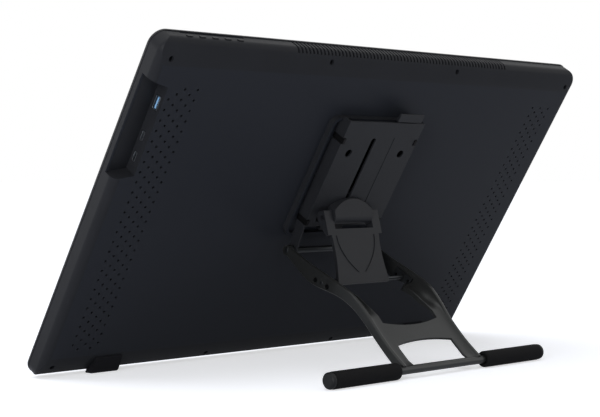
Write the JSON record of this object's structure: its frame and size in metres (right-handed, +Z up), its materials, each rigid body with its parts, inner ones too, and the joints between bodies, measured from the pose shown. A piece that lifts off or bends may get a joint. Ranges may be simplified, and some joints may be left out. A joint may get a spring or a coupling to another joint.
{
  "type": "pen display with folding stand",
  "caption": "Wide flat pen display leaning on a folding stand: moulded rear cover with a side port bay and top keys, slotted track, strut and leg frame on a gripped foot bar.",
  "frame": {"origin": "on the desk, midway across the display and midway between its front edge and the grips of the foot bar", "axes": "+X to the left seen from behind, +Y from the screen towards the stand, +Z up"},
  "size_m": [0.59, 0.2664, 0.311],
  "materials": {
    "cover_plastic": "fine moulded grain, satin",
    "frame_plastic": "satin",
    "screen_glass": "etched, anti-glare",
    "panel_film": "glossy film",
    "backlight_film": "white diffuser",
    "circuit_board": "solder mask",
    "sheet_steel": "zinc plated",
    "socket_steel": "nickel plated",
    "black_screw": "black oxide",
    "foot_rubber": "matt",
    "stand_metal": "fine powder coat",
    "leg_metal": "metallic grey paint",
    "bar_metal": "metallic grey paint",
    "bright_steel": "ground",
    "grip_rubber": "ribbed, matt",
    "trim_plastic": "satin"
  },
  "bodies": {
    "display": {"front_glass": "screen_glass", "front_frame": "frame_plastic", "screen_panel": "panel_film", "backlight_unit": "backlight_film", "pen_sensor": "circuit_board", "shield_plate": "sheet_steel", "mount_bracket": "sheet_steel", "main_board": "circuit_board", "key_board": "circuit_board", "rear_cover": "cover_plastic", "usb_a_socket": "socket_steel", "usb_c_socket_upper": "socket_steel", "usb_c_socket_lower": "socket_steel", "cover_screws": "black_screw", "foot_left": "foot_rubber", "foot_right": "foot_rubber", "stand_tray": "cover_plastic", "stand_base": "stand_metal", "track_plate": "stand_metal", "mount_screws": "bright_steel", "lock_rack": "bright_steel", "lever_pin": "bright_steel", "lever_spring": "bright_steel", "hinge_rod": "bright_steel", "hinge_washers": "bright_steel"},
    "leg": {"leg_frame": "leg_metal", "leg_rod": "bright_steel", "pivot_plates": "bright_steel", "leg_screws": "black_screw", "foot_bar": "bar_metal", "grip_left": "grip_rubber", "grip_right": "grip_rubber", "cap_left": "trim_plastic", "cap_right": "trim_plastic"},
    "strut": {"strut": "stand_metal", "knuckle_pin": "bright_steel"},
    "knuckle": {"knuckle": "stand_metal"},
    "shoe": {"lock_shoe": "trim_plastic"},
    "lever": {"release_lever": "stand_metal"},
    "power_key": {"power_key": "trim_plastic"},
    "menu_key": {"menu_key": "trim_plastic"},
    "up_key": {"up_key": "trim_plastic"},
    "down_key": {"down_key": "trim_plastic"},
    "auto_key": {"auto_key": "trim_plastic"}
  },
  "joints": [
    {"name": "leg_fold", "type": "hinge", "parent": "display", "child": "leg", "pos_m": [0, -0.0218, 0.11375], "axis": [1, 0, 0], "range_deg": [0, 78]},
    {"name": "strut_fold", "type": "hinge", "parent": "leg", "child": "strut", "pos_m": [0, 0.02667, 0.08394], "axis": [1, 0, 0], "range_deg": [-123.94, 0.5]},
    {"name": "knuckle_turn", "type": "hinge", "parent": "strut", "child": "knuckle", "pos_m": [0, 0.01047, 0.14639], "axis": [1, 0, 0], "range_deg": [-0.5, 45.94]},
    {"name": "shoe_slide", "type": "slide", "parent": "display", "child": "shoe", "axis": [0, 0.5313, 0.8472], "range_m": [-0.0005, 0.07596]},
    {"name": "lever_press", "type": "hinge", "parent": "display", "child": "lever", "pos_m": [0, 0.04638, 0.23187], "axis": [1, 0, 0], "range_deg": [0, 9.5], "stiffness_Nm_per_rad": 0.35, "springref_deg": -6.88},
    {"name": "power_key_press", "type": "slide", "parent": "display", "child": "power_key", "axis": [0, -0.5313, -0.8472], "range_m": [0, 0.0006], "stiffness_N_per_m": 900, "springref_m": -0.0004},
    {"name": "menu_key_press", "type": "slide", "parent": "display", "child": "menu_key", "axis": [0, -0.5313, -0.8472], "range_m": [0, 0.0006], "stiffness_N_per_m": 900, "springref_m": -0.0004},
    {"name": "up_key_press", "type": "slide", "parent": "display", "child": "up_key", "axis": [0, -0.5313, -0.8472], "range_m": [0, 0.0006], "stiffness_N_per_m": 900, "springref_m": -0.0004},
    {"name": "down_key_press", "type": "slide", "parent": "display", "child": "down_key", "axis": [0, -0.5313, -0.8472], "range_m": [0, 0.0006], "stiffness_N_per_m": 900, "springref_m": -0.0004},
    {"name": "auto_key_press", "type": "slide", "parent": "display", "child": "auto_key", "axis": [0, -0.5313, -0.8472], "range_m": [0, 0.0006], "stiffness_N_per_m": 900, "springref_m": -0.0004}
  ],
  "couplings": [
    {"joint": "strut_fold", "follows": "leg_fold", "ratio": -1.5826},
    {"joint": "knuckle_turn", "follows": "leg_fold", "ratio": 0.58259},
    {"joint": "shoe_slide", "follows": "leg_fold", "m_per_rad": 0.055431}
  ]
}
